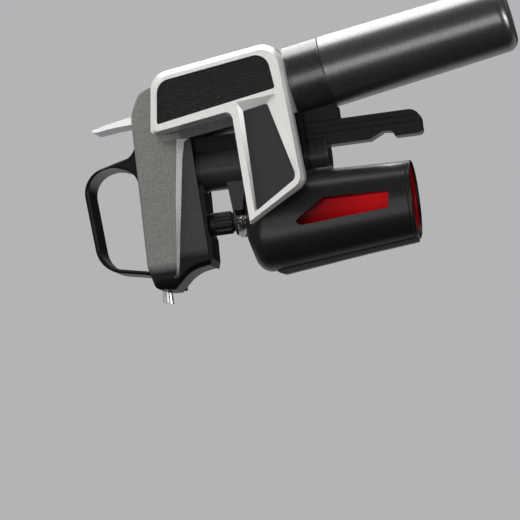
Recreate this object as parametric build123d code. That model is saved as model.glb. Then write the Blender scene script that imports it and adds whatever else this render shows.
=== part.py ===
from build123d import *
import os
from math import cos, hypot, radians, sin, tan

# Wine preservation dispenser, upright on a bottle: +Z up the needle, +X towards the gas cup, Y across.
# Millimetres. Heights below are above the datum, the flat that the neck clamp's top is drawn from. The
# finished pieces are lifted so that the origin is the middle of the clamp's grip band, on the needle's axis.

# Neck clamp: two hinged jaws with red liners that close on the bottle's neck.
grip_radius = 14.4          # bore of the liners' grip band
grip_length = 16.0          # height of the grip band
grip_top = -52.0            # top of the grip band, just under the needle's tip
neck_radius = 15.1          # liners' bore above the grip band
bottle_top = -5.0           # where the bottle's lip meets the liners
mouth_radius = 8.9          # opening in the jaws' crown
rim_wall = 1.3              # red rim inside that opening
rim_top = 0.3
jaw_radius = 20.0           # outside of the jaws under the crown
jaw_centre = -2.7           # the outside is thicker on the side away from the hinge
crown_top = 1.2
crown_bottom = -12.0
jaw_end = -70.0
jaw_end_radius = 16.4
jaw_end_rim = 0.2
jaw_end_centre = -0.6
liner_top_radius = 16.6     # outside of the liners, seated in the jaws
liner_end_radius = 15.4
jaw_parting = 0.2           # half of the gap between the closed jaws
rib_thickness = 1.5         # flange along each jaw's free edge

# Hinge of the jaws.
hinge_x = 20.2
hinge_pin_radius = 1.6
pin_clearance = 0.05        # running fit of a hinge pin
knuckle_radius = 4.3
knuckle_top = -4.0
knuckle_bottom = -25.0
knuckle_gap = 0.3
spring_room = 3.6

# Carriage: tower that slides on the rail, with the arm that guides the needle.
tower_radius = 8.6
tower_x = 22.6
tower_top = 20.0
tower_bottom = -36.8
knob_radius = 8.2           # foot of the tower
knob_height = 9.4
tower_collar = 0.4          # how far the collar stands out
tower_collar_height = 2.5
knob_groove = 0.35          # depth of the grooves round the foot of the tower
knob_grooves = (1.8, 4.2, 8.0)
arm_half_width = 5.8
arm_top = 5.8               # over the needle
foot_radius = 4.4
foot_bottom = 1.4
guide_ring_radius = 7.0     # clear ring round the foot
guide_ring_bottom = 0.9
guide_ring_top = 5.0

# Needle, hub and the fluid path above it.
needle_radius = 0.85
needle_bore = 0.5
needle_tip = -51.0
needle_clearance = 0.08
hub_radius = 4.8
hub_bottom = 6.3
hub_top = 17.0
hub_flutes = 10
flute_radius = 1.2
flute_depth = 0.6
stud_radius = 2.0
stud_length = 5.0
socket_radius = 4.4
socket_gap = 0.2            # between the hub and its socket
manifold_bottom = 28.0
manifold_half_width = 5.0
manifold_front = -5.0
manifold_back = 6.0
spout_radius = 2.25
spout_bore = 1.6
spout_tip = -30.2
spout_seat = -25.0          # where the spout's thin neck starts, inside the column
spout_gap = 0.1             # round the spout in the column's end
spout_land = -27.0          # where the free full-size end of the spout starts
spout_neck_radius = 1.9
spout_relief = 0.2          # how much thinner the spout is between its seat and its free end
gas_tube_radius = 1.5
gas_tube_side = 8.6         # distance of the gas tube from the mid-plane

# Rail: straight T-section track that the carriage slides on.
rail_foot_x = 26.2
rail_foot = 2.6             # depths in X of the foot, the neck and the body
rail_neck = 2.8
rail_body = 5.0
rail_foot_half = 4.2
rail_neck_half = 3.4
rail_body_half = 4.2
rail_groove = 0.6
rail_bottom = -76.4
rail_top = 38.0
slide_clearance = 0.15
bracket_half_width = 5.2
flange_half_width = 10.0

# Column: hollow housing of the handle, two halves joined on the mid-plane.
column_half_width = 12.5    # raised face
flank_half_width = 10.6     # lower flank under the sloping strip
column_top = 43.4
spout_height = column_top - 5.3
column_wall = 2.0
column_end = 61.0
core_x = 36.0               # the column stands on the core beyond here
core_top = 31.0
gas_tube_height = core_top + 2.5
core_bevel = 3.3            # slope along the core's front edges
core_knee = (41.2, -20.0)   # where those edges end
core_shoulder = 23.0        # above here the core is as narrow as the column
column_under = 19.5         # height of the column's underside beside the core
edge_round = 1.0
cover_half_width = 9.6
spigot_half_width = 8.4
spigot_start = -14.5
spigot_end = 12.0
spigot_bottom = 17.0
cover_end = 16.0
cover_drop = 2.2            # how far the cover hangs below the column's underside there

# Finger loop.
loop_half_width = 9.5
loop_edge = 0.6

# Trigger and the valve that it opens.
trigger_half_width = 7.5
trigger_x = 46.3
trigger_z = column_top - 6.4
trigger_boss = 3.2
trigger_neck_half = 4.0
trigger_pin_radius = 1.0
trigger_slot_gap = 0.4
valve_height = core_top - 4.5
valve_front = 50.5
valve_back = 60.0
port_x = 55.5               # where the gas tube joins the valve's side
valve_radius = 4.0
valve_bore = 2.6
valve_wall = 1.4
push_pin_radius = 1.4
push_pin_gap = 0.1
push_pin_travel = 2.6
push_nose_radius = 1.6

# Silver grip frames, their pads and side panels.
frame_inner = 16.0          # the core's flat sides
frame_outer = 26.0
frame_bevel = 2.2
frame_bevel_low = 1.2
frame_bevel_cut = 0.3
jaw_room = 23.0             # hollow of the frames round the jaws
jaw_room_x = -3.0
pad_sink = 0.8              # depth of the pads below the frames' faces
pad_thickness = 1.4
panel_sink = 1.8            # depth of the side panels below the frames' faces
panel_thickness = 1.0
pad_face = frame_outer - pad_sink
pad_seat = pad_face - pad_thickness
panel_face = frame_outer - panel_sink
panel_seat = panel_face - panel_thickness
panel_ledge = 1.6
screw_radius = 1.4
screw_head_radius = 2.6
screw_head = 1.6
screw_depth = 4.0           # thread in the core

# Gas side: the collar, cup, capsule and regulator share a tilted axis; s runs along it from the seam.
cup_tilt = 9.3
seam_x = 57.4
seam_z = -39.4
collar_radius = 15.25
collar_start = -15.2
spigot_radius = 13.3
spigot_length = 12.0
cup_clearance = 0.3
seam_gap = 0.15
cup_length = 80.0
cup_end_radius = 14.4
cup_wall = 2.4
cup_bottom = 2.0
cup_dome = 5.0
capsule_radius = 11.0
capsule_neck_radius = 4.2
capsule_tip = -12.0
capsule_end = 77.0
capsule_wall = 1.6
capsule_clearance = 0.3
pierce_radius = 1.0
pierce_depth = 1.0
seal_thickness = 1.4
seal_gap = 0.1
regulator_radius = 10.4
regulator_bore = 7.0
regulator_end = -52.0
regulator_cap = 2.0
regulator_floor = 4.0
nose_radius = 6.0
piston_clearance = 0.05
piston_length = 6.0
wire_radius = 0.5

lift = grip_length / 2 - grip_top
axis_x = sin(radians(cup_tilt))
axis_z = -cos(radians(cup_tilt))
cup_frame = Plane(origin=(seam_x, 0, seam_z), x_dir=(-axis_z, 0, axis_x), z_dir=(axis_x, 0, axis_z))
from_below = (Align.CENTER, Align.CENTER, Align.MIN)

os.makedirs("parts", exist_ok=True)


def save(name, piece):
    """Lift a finished piece to the part's own frame and write it."""
    export_step(Pos(0, 0, lift) * piece, f"parts/{name}.step")


def save_pair(name, left):
    """Write a left piece and its mirror image."""
    save(f"{name}_left", left)
    save(f"{name}_right", mirror(left, about=Plane.XZ))


def outline(corners, radii=0.0):
    """Closed face with each corner rounded by its own radius."""
    return make_face(FilletPolyline(*corners, radius=radii, close=True))


def slab(corners, radii, low_y, high_y):
    """Outline in X and height, as thick as from low_y to high_y."""
    return extrude(Plane.XZ.offset(-high_y) * outline(corners, radii), high_y - low_y)


def taper(low_corners, low_radii, low_y, high_corners, high_radii, high_y):
    """Slab whose outline changes evenly from one side to the other."""
    low = Plane.XZ.offset(-low_y) * outline(low_corners, low_radii)
    high = Plane.XZ.offset(-high_y) * outline(high_corners, high_radii)
    return loft([low, high], ruled=True)


def disc(radius, low, high, x=0.0, y=0.0):
    """Upright cylinder between two heights."""
    return Pos(x, y, low) * Cylinder(radius, high - low, align=from_below)


def block(low_x, high_x, half_width, low, high):
    """Box centred on the mid-plane."""
    return slab([(low_x, low), (high_x, low), (high_x, high), (low_x, high)], 0, -half_width, half_width)


def cross_rod(radius, x, z, low_y, high_y):
    """Cylinder across the part."""
    return extrude(Plane.XZ.offset(-high_y) * Pos(x, z) * Circle(radius), high_y - low_y)


def long_rod(radius, low_x, high_x, z, y=0.0):
    """Cylinder along X."""
    return extrude(Plane((low_x, y, z), z_dir=(1, 0, 0)) * Circle(radius), high_x - low_x)


def spun(profile, radii=0.0, x=0.0):
    """Turned piece from a half profile of radius and height, about an upright line at x."""
    return Pos(x, 0, 0) * revolve(Plane.XZ * outline(profile, radii), Axis.Z)


def on_cup_axis(profile, radii=0.0):
    """Turned piece about the cup's axis, from a half profile of radius and distance s."""
    return cup_frame * spun(profile, radii)


def ring_on_cup_axis(radius, bore, start, end):
    """Plain ring about the cup's axis."""
    return on_cup_axis([(bore, start), (radius, start), (radius, end), (bore, end)])


def rod_on_cup_axis(radius, start, end):
    """Plain rod about the cup's axis."""
    return cup_frame * disc(radius, start, end)


def coil(radius, length, turns):
    """Round-wire spring standing on the origin."""
    pitch = (length - 2 * wire_radius) / turns
    path = Helix(pitch, pitch * turns, radius - wire_radius)
    start = path @ 0
    section = Plane(origin=start, z_dir=path % 0) * Circle(wire_radius)
    return Pos(0, 0, wire_radius) * sweep(section, path=path)


def shifted(corners, x, z):
    """Corners of an outline moved along X and up."""
    return [(corner_x + x, corner_z + z) for corner_x, corner_z in corners]


def inset(corners, depths):
    """Corners of an outline whose sides have moved inwards, each by its own depth."""
    count = len(corners)
    area = sum(corners[i - 1][0] * corners[i][1] - corners[i][0] * corners[i - 1][1] for i in range(count))
    turn = 1 if area > 0 else -1
    lines = []
    for i in range(count):
        (x0, z0), (x1, z1) = corners[i], corners[(i + 1) % count]
        length = hypot(x1 - x0, z1 - z0)
        nx, nz = -turn * (z1 - z0) / length, turn * (x1 - x0) / length
        lines.append((nx, nz, nx * x0 + nz * z0 + depths[i]))
    moved = []
    for i in range(count):
        (a, b, c), (d, e, f) = lines[i - 1], lines[i]
        size = a * e - b * d
        moved.append(((c * e - b * f) / size, (a * f - c * d) / size))
    return moved


def rail_section(grow=0.0):
    """Rail's section in plan: foot, neck and body, grown by a clearance."""
    foot_end = rail_foot_x + rail_foot
    neck_end = foot_end + rail_neck
    body_end = neck_end + rail_body
    half = [
        (rail_foot_x - grow, rail_foot_half + grow), (foot_end + grow, rail_foot_half + grow),
        (foot_end + grow, rail_neck_half + grow), (neck_end - grow, rail_neck_half + grow),
        (neck_end - grow, rail_body_half + grow), (body_end + grow, rail_body_half + grow),
    ]
    return outline(half + [(x, -y) for x, y in reversed(half)])


def rail_core(grow=0.0):
    """Straight bar of the rail's section."""
    return extrude(Plane.XY.offset(rail_bottom) * rail_section(grow), rail_top - rail_bottom)


# ---- Neck clamp ----

def jaw_outside():
    """Closed jaws as one body: sloping crown, leaning sleeve and a rim at the end."""
    crown = spun(
        [(0, crown_top), (6.5, crown_top), (jaw_radius, crown_top - 4.1), (jaw_radius, crown_bottom),
         (0, crown_bottom)], [0, 2.0, 6.5, 0, 0], jaw_centre)
    rim_height = 2.0
    start = Plane.XY.offset(crown_bottom) * Pos(jaw_centre, 0) * Circle(jaw_radius)
    end = Plane.XY.offset(jaw_end + rim_height) * Pos(jaw_end_centre, 0) * Circle(jaw_end_radius)
    rim_radius = jaw_end_radius + jaw_end_rim
    rim = spun(
        [(0, jaw_end), (rim_radius, jaw_end), (rim_radius, jaw_end + rim_height), (0, jaw_end + rim_height)],
        [0, 0.8, 0.6, 0], jaw_end_centre)
    return crown + loft([start, end], ruled=True) + rim


def liner_outside():
    """Room in the jaws that the liners fill: slanted ceiling, then a slow cone to the end."""
    return spun([
        (0, -1.6), (mouth_radius, -1.6), (13.0, -3.6), (liner_top_radius, -8.0),
        (liner_end_radius, jaw_end + 1.0), (0, jaw_end + 1.0)])


def jaw_bore():
    """What stays free inside the liners: mouth, seat of the lip, neck and grip band."""
    grip_end = grip_top - grip_length
    return spun([
        (0, rim_top + 1.0), (mouth_radius - rim_wall, rim_top + 1.0), (mouth_radius - rim_wall, bottle_top),
        (12.5, bottle_top), (neck_radius, bottle_top - 3.5), (neck_radius, grip_top + 2.0),
        (grip_radius, grip_top), (grip_radius, grip_end), (grip_radius + 0.5, grip_end - 0.5),
        (grip_radius + 0.5, jaw_end - 1.0), (0, jaw_end - 1.0)])


def knuckle_spans():
    """Heights of the two knuckles of each jaw and of the spring between them, from the top down."""
    knuckle = (knuckle_top - knuckle_bottom - spring_room - 4 * knuckle_gap) / 4
    spans = []
    top = knuckle_top
    for length in (knuckle, knuckle, spring_room, knuckle, knuckle):
        spans.append((top - length, top))
        top -= length + knuckle_gap
    return spans


def hinge_room(own_spans):
    """Clear space round the hinge, except where the jaw has its own knuckles."""
    radius = knuckle_radius + knuckle_gap
    room = disc(radius, knuckle_bottom - knuckle_gap, knuckle_top + 4 * knuckle_gap, hinge_x)
    for low, high in own_spans:
        room -= disc(radius, low, high, hinge_x)
    return room


def jaw_shell(own_spans):
    """Left jaw without its liner."""
    rib = slab(
        [(-23.2, -9.2), (-24.7, -12.6), (-20.5, -48.3), (-18.4, jaw_end + 0.6), (-14.0, jaw_end + 0.6),
         (-14.0, -9.2)], [1.5, 2.5, 0, 0.6, 0, 0], 0, jaw_parting + rib_thickness)
    shell = jaw_outside() + rib
    gusset = [(11.5, 13.5), (hinge_x, knuckle_radius), (hinge_x, 0), (15.0, 0), (9.0, 8.0)]
    for low, high in own_spans:
        shell += disc(knuckle_radius, low, high, hinge_x)
        shell += extrude(Plane.XY.offset(low) * outline(gusset), high - low)
    shell -= liner_outside()
    shell -= disc(mouth_radius, bottle_top, crown_top + 1.0)
    shell -= disc(grip_radius + 0.5, jaw_end - 1.0, jaw_end + 1.5)
    window = [(-5.6, -20.6), (3.3, -33.6), (2.6, -60.7), (-4.3, -60.1), (-7.1, -23.6)]
    shell -= slab(window, [1.2, 3.0, 1.2, 1.0, 1.5], 5.0, jaw_radius + 5.0)
    shell -= hinge_room(own_spans)
    side = block(-40, hinge_x + 10, 30, jaw_end - 5, 5)
    shell -= Pos(0, jaw_parting - 30, 0) * side - sum_discs(knuckle_radius, own_spans)
    shell -= disc(hinge_pin_radius + pin_clearance, knuckle_bottom - 5, knuckle_top + 5, hinge_x)
    return shell


def sum_discs(radius, spans):
    """Discs round the hinge at the given heights."""
    discs = [disc(radius, low, high, hinge_x) for low, high in spans]
    return discs[0] + discs[1]


def jaw_liner(own_spans):
    """Left red liner, with the rim that shows in the mouth."""
    body = liner_outside() + disc(mouth_radius, bottle_top, rim_top)
    body -= jaw_bore()
    radius = knuckle_radius + knuckle_gap
    body -= disc(radius, knuckle_bottom - knuckle_gap, knuckle_top + knuckle_gap, hinge_x)
    body -= Pos(0, jaw_parting - 30, 0) * block(-40, 40, 30, jaw_end - 5, 5)
    return body


def jaws():
    """Both jaws with their liners: the left one has the upper knuckle of each pair."""
    spans = knuckle_spans()
    left_spans = [spans[0], spans[3]]
    right_spans = [spans[1], spans[4]]
    save("jaw_left", jaw_shell(left_spans))
    save("jaw_right", mirror(jaw_shell(right_spans), about=Plane.XZ))
    save_pair("jaw_liner", jaw_liner(left_spans))


def carriage():
    """Tower on the rail, with the arm to the needle and the grooved foot."""
    tower = spun(
        [(0, tower_bottom), (knob_radius, tower_bottom), (knob_radius, tower_bottom + knob_height),
         (tower_radius, tower_bottom + knob_height), (tower_radius, tower_top - tower_collar_height),
         (tower_radius + tower_collar, tower_top - tower_collar_height),
         (tower_radius + tower_collar, tower_top), (0, tower_top)], [0, 1.4, 0, 0.3, 0, 0.2, 1.0, 0], tower_x)
    for height in knob_grooves:
        middle = tower_bottom + height
        ring = disc(knob_radius + 1, middle - 0.3, middle + 0.3, tower_x)
        tower -= ring - disc(knob_radius - knob_groove, middle - 0.3, middle + 0.3, tower_x)
    arm = slab(
        [(tower_x - 6, 7.1), (4.7, arm_top + 0.1), (-arm_half_width, arm_top), (-arm_half_width, 1.9),
         (2.0, 1.9), (9.0, 0.9), (tower_x - 6, -1.4)], [0, 1.0, 0, 0, 0, 3.0, 0],
        -arm_half_width, arm_half_width)
    arm -= block(-20, 0, 20, 0, 10) - disc(arm_half_width, 0, 10)
    body = tower + arm
    body -= disc(guide_ring_radius + 0.1, -1.0, guide_ring_top)
    body -= disc(needle_radius + 4 * needle_clearance, 0, 10)
    body -= disc(jaw_radius + 0.9, knuckle_bottom - knuckle_gap, -1.9, jaw_centre + 0.1)
    body -= disc(jaw_radius + 0.2, tower_bottom - 1, knuckle_bottom - knuckle_gap, jaw_centre + 0.5)
    hinge_end = hinge_x + knuckle_radius + knuckle_gap
    body -= block(0, hinge_end, 20, knuckle_bottom - knuckle_gap, knuckle_top + knuckle_gap)
    body -= disc(hinge_pin_radius, tower_bottom, 6.0, hinge_x)
    body -= rail_core(slide_clearance)
    return body


def clamp():
    """Fixed pieces of the clamp."""
    save("carriage", carriage())
    hole = needle_radius + needle_clearance
    foot = spun(
        [(hole + 0.6, foot_bottom), (foot_radius, foot_bottom), (foot_radius, guide_ring_top),
         (hole + 0.6, guide_ring_top), (hole, guide_ring_top - 0.8), (hole, foot_bottom + 0.8)])
    save("needle_guide_foot", foot)
    ring = spun(
        [(hole + 0.8, guide_ring_bottom), (guide_ring_radius, guide_ring_bottom),
         (guide_ring_radius, guide_ring_top), (foot_radius, guide_ring_top), (foot_radius, foot_bottom),
         (hole + 0.8, foot_bottom)], [0.2, 2.0, 1.4, 0, 0, 0])
    save("guide_ring", ring)
    save("jaw_hinge_pin", disc(hinge_pin_radius, tower_bottom + 1.6, 6.0, hinge_x))
    low, high = knuckle_spans()[2]
    spring = Pos(hinge_x, 0, low) * coil(hinge_pin_radius + 2 * wire_radius + pin_clearance, high - low, 3)
    save("jaw_spring", spring)


# ---- Needle and fluid path ----

def needle():
    """Hollow needle with a closed conical tip and a side port, in its grooved hub."""
    point = 3.0
    tube = spun([(0, needle_tip), (needle_radius, needle_tip + point), (needle_radius, hub_top + stud_length),
                 (0, hub_top + stud_length)])
    tube -= disc(needle_bore, needle_tip + point + 0.5, hub_top + stud_length + 1)
    port = Pos(-needle_radius, 0, needle_tip + point + 2.0) * Box(needle_radius, 0.7, 2.2)
    save("needle_tube", tube - port)
    hub = spun(
        [(0, hub_bottom), (hub_radius - 1.4, hub_bottom), (hub_radius, hub_bottom + 1.4),
         (hub_radius, hub_top), (stud_radius, hub_top), (stud_radius, hub_top + stud_length),
         (0, hub_top + stud_length)], [0, 0.5, 0.6, 0.8, 0, 0.3, 0])
    for i in range(hub_flutes):
        angle = radians(360 / hub_flutes * (i + 0.5))
        reach = hub_radius + flute_radius - flute_depth
        hub -= disc(flute_radius, hub_bottom - 1, hub_top - 2.5, reach * cos(angle), reach * sin(angle))
    save("needle_hub", hub - disc(needle_radius, hub_bottom - 1, hub_top + stud_length + 1))


def fluid_path():
    """Socket of the needle, manifold block, spout and gas tube."""
    socket_bottom = hub_top + socket_gap
    socket = spun(
        [(stud_radius + pin_clearance, socket_bottom), (socket_radius, socket_bottom),
         (socket_radius, manifold_bottom), (1.2, manifold_bottom), (1.2, hub_top + stud_length + 1),
         (stud_radius + pin_clearance, hub_top + stud_length + 1)])
    save("needle_socket", socket)
    manifold_top = column_top - column_wall
    body = slab(
        [(manifold_front, manifold_bottom), (manifold_back, manifold_bottom), (manifold_back, manifold_top),
         (manifold_front, manifold_top)], 1.0, -manifold_half_width, manifold_half_width)
    body -= disc(1.2, manifold_bottom, spout_height)
    body -= long_rod(spout_neck_radius, manifold_front - 1, 0, spout_height)
    body -= long_rod(1.0, 0, manifold_back + 1, gas_tube_height, 2.4)
    save("manifold", body)
    tip_slant = tan(radians(16.0)) * spout_radius
    spout = long_rod(spout_radius, spout_tip - tip_slant, spout_land, spout_height)
    spout += long_rod(spout_radius - spout_relief, spout_land, spout_seat, spout_height)
    spout += long_rod(spout_neck_radius, spout_seat, manifold_front + 3.0, spout_height)
    spout -= long_rod(spout_bore, spout_tip - 5, manifold_front + 4.0, spout_height)
    spout_low, spout_high = spout_height - spout_radius, spout_height + spout_radius
    cut = [(spout_tip + tip_slant, spout_high), (spout_tip - tip_slant, spout_low),
           (spout_tip - 5, spout_low - 2), (spout_tip - 5, spout_high + 2)]
    save("spout_tube", spout - slab(cut, 0, -5, 5))
    save("gas_tube", gas_line(gas_tube_radius) - gas_line(gas_tube_radius - 0.6))


def gas_route():
    """Corner points of the gas tube from the manifold to the valve."""
    return [
        (manifold_back, 2.4, gas_tube_height), (manifold_back + 3.0, 2.4, gas_tube_height),
        (manifold_back + 9.0, gas_tube_side, gas_tube_height), (port_x, gas_tube_side, gas_tube_height),
        (port_x, gas_tube_side, valve_height), (port_x, valve_radius + 0.3, valve_height)]


def gas_line(radius):
    """Rod along the gas tube's route."""
    path = FilletPolyline(*gas_route(), radius=[2.8, 6.0, 3.0, 2.0])
    section = Plane(origin=path @ 0, z_dir=path % 0) * Circle(radius)
    return sweep(section, path=path)


# ---- Column ----

column_path = [(column_end, core_top), (58.2, 38.8), (48.5, column_top), (-15.5, column_top), (-24.9, 40.8)]
column_rounds = [0, 8.0, 14.0, 10.0, 3.0]
column_nose = (-17.4, 17.0)
spout_heel = (-25.9, 33.0)
end_split = (-25.58, 35.5)  # point of the column's end where the rounding of its lower edge starts
scoop_round = 3.0


def column_block():
    """Left half of the column, solid: flank, raised face and the strip that slopes between them."""
    split = (core_x, end_split[1])
    upper = slab(column_path + [end_split, split, (core_x, core_top)], column_rounds + [0, 0, 0], 0,
                 flank_half_width)
    lower = slab([split, end_split, spout_heel, (-18.6, 25.3), column_nose, (core_x, column_under)],
                 [0, 0, 0.6, 15.0, 0, 0], 0, flank_half_width)
    side_edges = lower.faces().sort_by(Axis.Y)[-1].edges().filter_by(lambda edge: edge.center().Z < split[1])
    scoop_edges = side_edges.filter_by(lambda edge: edge.center().X < column_nose[0])
    flank = upper + fillet(scoop_edges, scoop_round)
    base = column_path + [(-26.1, 31.5), (-18.0, 30.1), (10.8, 25.9), (27.4, 23.6), (34.8, 21.9),
                          (core_x, column_under + 0.2), (core_x, core_top)]
    face = [(column_end - edge_round, core_top), (57.5, 38.1), (48.0, column_top - edge_round),
            (-15.3, column_top - edge_round), (-24.0, 40.0), (-25.4, 32.3), (-17.9, 31.0), (11.1, 28.2),
            (27.0, 26.2), (33.5, 25.4), (core_x, 25.1), (core_x, core_top)]
    strip_rounds = [0.6, 8.0, 0, 0, 1.0, 0, 0]
    raised = taper(
        base, column_rounds + strip_rounds, flank_half_width,
        face, [0, 7.2, 13.2, 9.2, 2.4] + strip_rounds, column_half_width)
    plan = [(column_end + 1, 0), (column_end, column_half_width), (-27.4, column_half_width), (-28.6, 0)]
    ends = extrude(Plane.XY.offset(column_under - 10) * outline(plan, [0, 4.0, 8.6, 0]), 60)
    return (flank + raised) & ends


def column_shell():
    """Left half of the column with its rooms: hollow, tower well, rail seat and trigger slot."""
    shell = column_block()
    inside_top = column_top - column_wall
    hollow = [(24.0, 23.2), (24.0, inside_top), (-14.5, inside_top), (-22.4, 38.9), (-23.9, 31.6),
              (-15.8, 26.6), (-15.0, 20.0)]
    shell -= slab(hollow, [1, 1, 6, 2, 1, 10, 1], -1, flank_half_width - column_wall)
    well_x = tower_x - tower_radius - tower_collar - 0.3
    shell -= block(well_x, core_x - 0.8, tower_radius + tower_collar + 0.3, 0, tower_top + 1.0)
    shell -= rail_core()
    shell -= block(spigot_start, spigot_end, spigot_half_width, 10, column_under + 4.0)
    slot_back = trigger_x + 3.8
    slot_half = trigger_half_width + trigger_slot_gap
    shell -= block(trigger_x - 3.9, slot_back, slot_half, core_top - 1, column_top + 5)
    shell -= cross_rod(trigger_pin_radius, trigger_x, trigger_z, -1, flank_half_width - 1)
    shell -= long_rod(spout_radius + spout_gap, -40, spout_seat, spout_height)
    shell -= long_rod(spout_neck_radius, spout_seat - 1, -15, spout_height)
    shell -= loop_tenons()
    return shell


def cover():
    """Black cover of the column's underside, with the round foot at its end and a spigot into the column."""
    under = column_under - (column_under - column_nose[1]) * (core_x - cover_end) / (core_x - column_nose[0])
    lower = slab(
        [column_nose, (-17.9, 16.8), (-15.0, 15.9), (-6.0, 15.7), (-2.6, 16.6),
         (cover_end, under - cover_drop), (cover_end, under)], [0, 0, 1.5, 1.5, 1.0, 0, 0],
        -cover_half_width, cover_half_width)
    body = lower + block(spigot_start, spigot_end, spigot_half_width, spigot_bottom, column_under + 1.4)
    body -= disc(hub_radius + 0.4, 10, hub_top + socket_gap)
    body -= disc(tower_radius + tower_collar + 0.3, 10, 30, tower_x)
    return body - disc(socket_radius, hub_top, 30)


def loop_tenons():
    """Feet of the finger loop that sit in the column."""
    back = block(21.0, 31.0, 3.0, column_top - column_wall, column_top)
    return back + block(-17.9, -16.9, 3.0, column_top - 1.2, column_top)


def edged_slab(corners, radii, bevels, half_width):
    """Slab across the mid-plane whose sides slope by their bevels near both faces."""
    face_corners = inset(corners, bevels)
    face_radii = [max(radius - bevels[0], 0) if radius else 0 for radius in radii]
    side = half_width - loop_edge
    slope = taper(corners, radii, side, face_corners, face_radii, half_width)
    return slab(corners, radii, -side, side) + slope + mirror(slope, about=Plane.XZ)


def finger_loop():
    """D-shaped loop for the fingers, thicker where it meets the column beside the trigger."""
    outer = shifted([(35.4, 0), (31.6, 2.6), (26.4, 24.1), (-14.3, 20.5), (-18.4, 0)], 0, column_top)
    inner = shifted(
        [(13.8, -1.0), (25.2, 1.2), (28.5, 10.1), (26.4, 22.3), (-12.9, 19.0), (-17.0, -1.0)], 0, column_top)
    outer_rounds = [0, 4.5, 11.0, 12.0, 0]
    inner_rounds = [0, 8.0, 9.0, 9.5, 10.5, 0]
    loop = edged_slab(outer, outer_rounds, [loop_edge] * 4 + [0], loop_half_width)
    return loop - edged_slab(inner, inner_rounds, [-loop_edge] * 5 + [0], loop_half_width) + loop_tenons()


# ---- Trigger and valve ----

def trigger():
    """Silver blade outside, bell crank inside: its nose pushes the valve's pin."""
    blade_side = [(-0.8, 5.6), (-1.3, 15.5), (-2.2, 22.4), (-1.9, 24.0), (-1.1, 24.3), (0.8, 16.0), (2.6, 5.6)]
    blade = slab(shifted(blade_side, trigger_x, trigger_z), [0, 20.0, 0.8, 0.3, 0.4, 20.0, 0],
                 -trigger_half_width, trigger_half_width)
    neck_side = [(-2.1, 0), (-1.4, 6.0), (2.8, 6.0), (2.6, 0)]
    neck = slab(shifted(neck_side, trigger_x, trigger_z), 0, -trigger_neck_half, trigger_neck_half)
    boss = cross_rod(trigger_boss, trigger_x, trigger_z, -trigger_neck_half, trigger_neck_half)
    nose_x = push_pin_start() - push_pin_gap - push_nose_radius
    arm = slab(
        [(trigger_x - 2.2, trigger_z), (nose_x - push_nose_radius, valve_height),
         (nose_x + push_nose_radius, valve_height), (trigger_x + 2.2, trigger_z)], 0, -3.0, 3.0)
    nose = cross_rod(push_nose_radius, nose_x, valve_height, -3.0, 3.0)
    body = blade + neck + boss + arm + nose
    return body - cross_rod(trigger_pin_radius + pin_clearance, trigger_x, trigger_z, -10, 10)


def push_pin_start():
    """Where the pin of the valve starts, in front of the valve."""
    return valve_front - push_pin_travel - 0.3


def valve():
    """Valve body with its side port, push pin and return spring."""
    body = long_rod(valve_radius, valve_front, valve_back, valve_height)
    port_start = valve_bore + 0.2
    body += extrude(Plane((port_x, port_start, valve_height), z_dir=(0, 1, 0)) * Circle(gas_tube_radius + 0.6),
                    valve_radius + 0.3 - port_start)
    body -= long_rod(valve_bore, valve_front + valve_wall, valve_back - 1.0, valve_height)
    body -= long_rod(push_pin_radius + pin_clearance, valve_front - 1, valve_front + 2, valve_height)
    save("valve_body", body)
    head_start = valve_front + valve_wall + 0.1
    head_end = head_start + 1.5
    pin = long_rod(push_pin_radius, push_pin_start(), head_start + 0.5, valve_height)
    pin += long_rod(valve_bore - 0.1, head_start, head_end, valve_height)
    save("push_pin", pin)
    spring_start = head_end + push_pin_travel + 0.1
    spring = Plane((spring_start, 0, valve_height), z_dir=(1, 0, 0)) * coil(
        valve_bore - 0.1, valve_back - 1.0 - spring_start, 1.5)
    save("valve_spring", spring)


def trigger_parts():
    """Trigger, its pin and its torsion spring."""
    save("trigger", trigger())
    save("trigger_pin", cross_rod(trigger_pin_radius, trigger_x, trigger_z,
                                  1 - flank_half_width, flank_half_width - 1))
    start = -trigger_neck_half - 0.3
    spring = Plane((trigger_x, start, trigger_z), z_dir=(0, -1, 0)) * coil(
        trigger_pin_radius + 2 * wire_radius + pin_clearance, 2.8, 2)
    save("trigger_spring", spring)


# ---- Core, frames, rail ----

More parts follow.
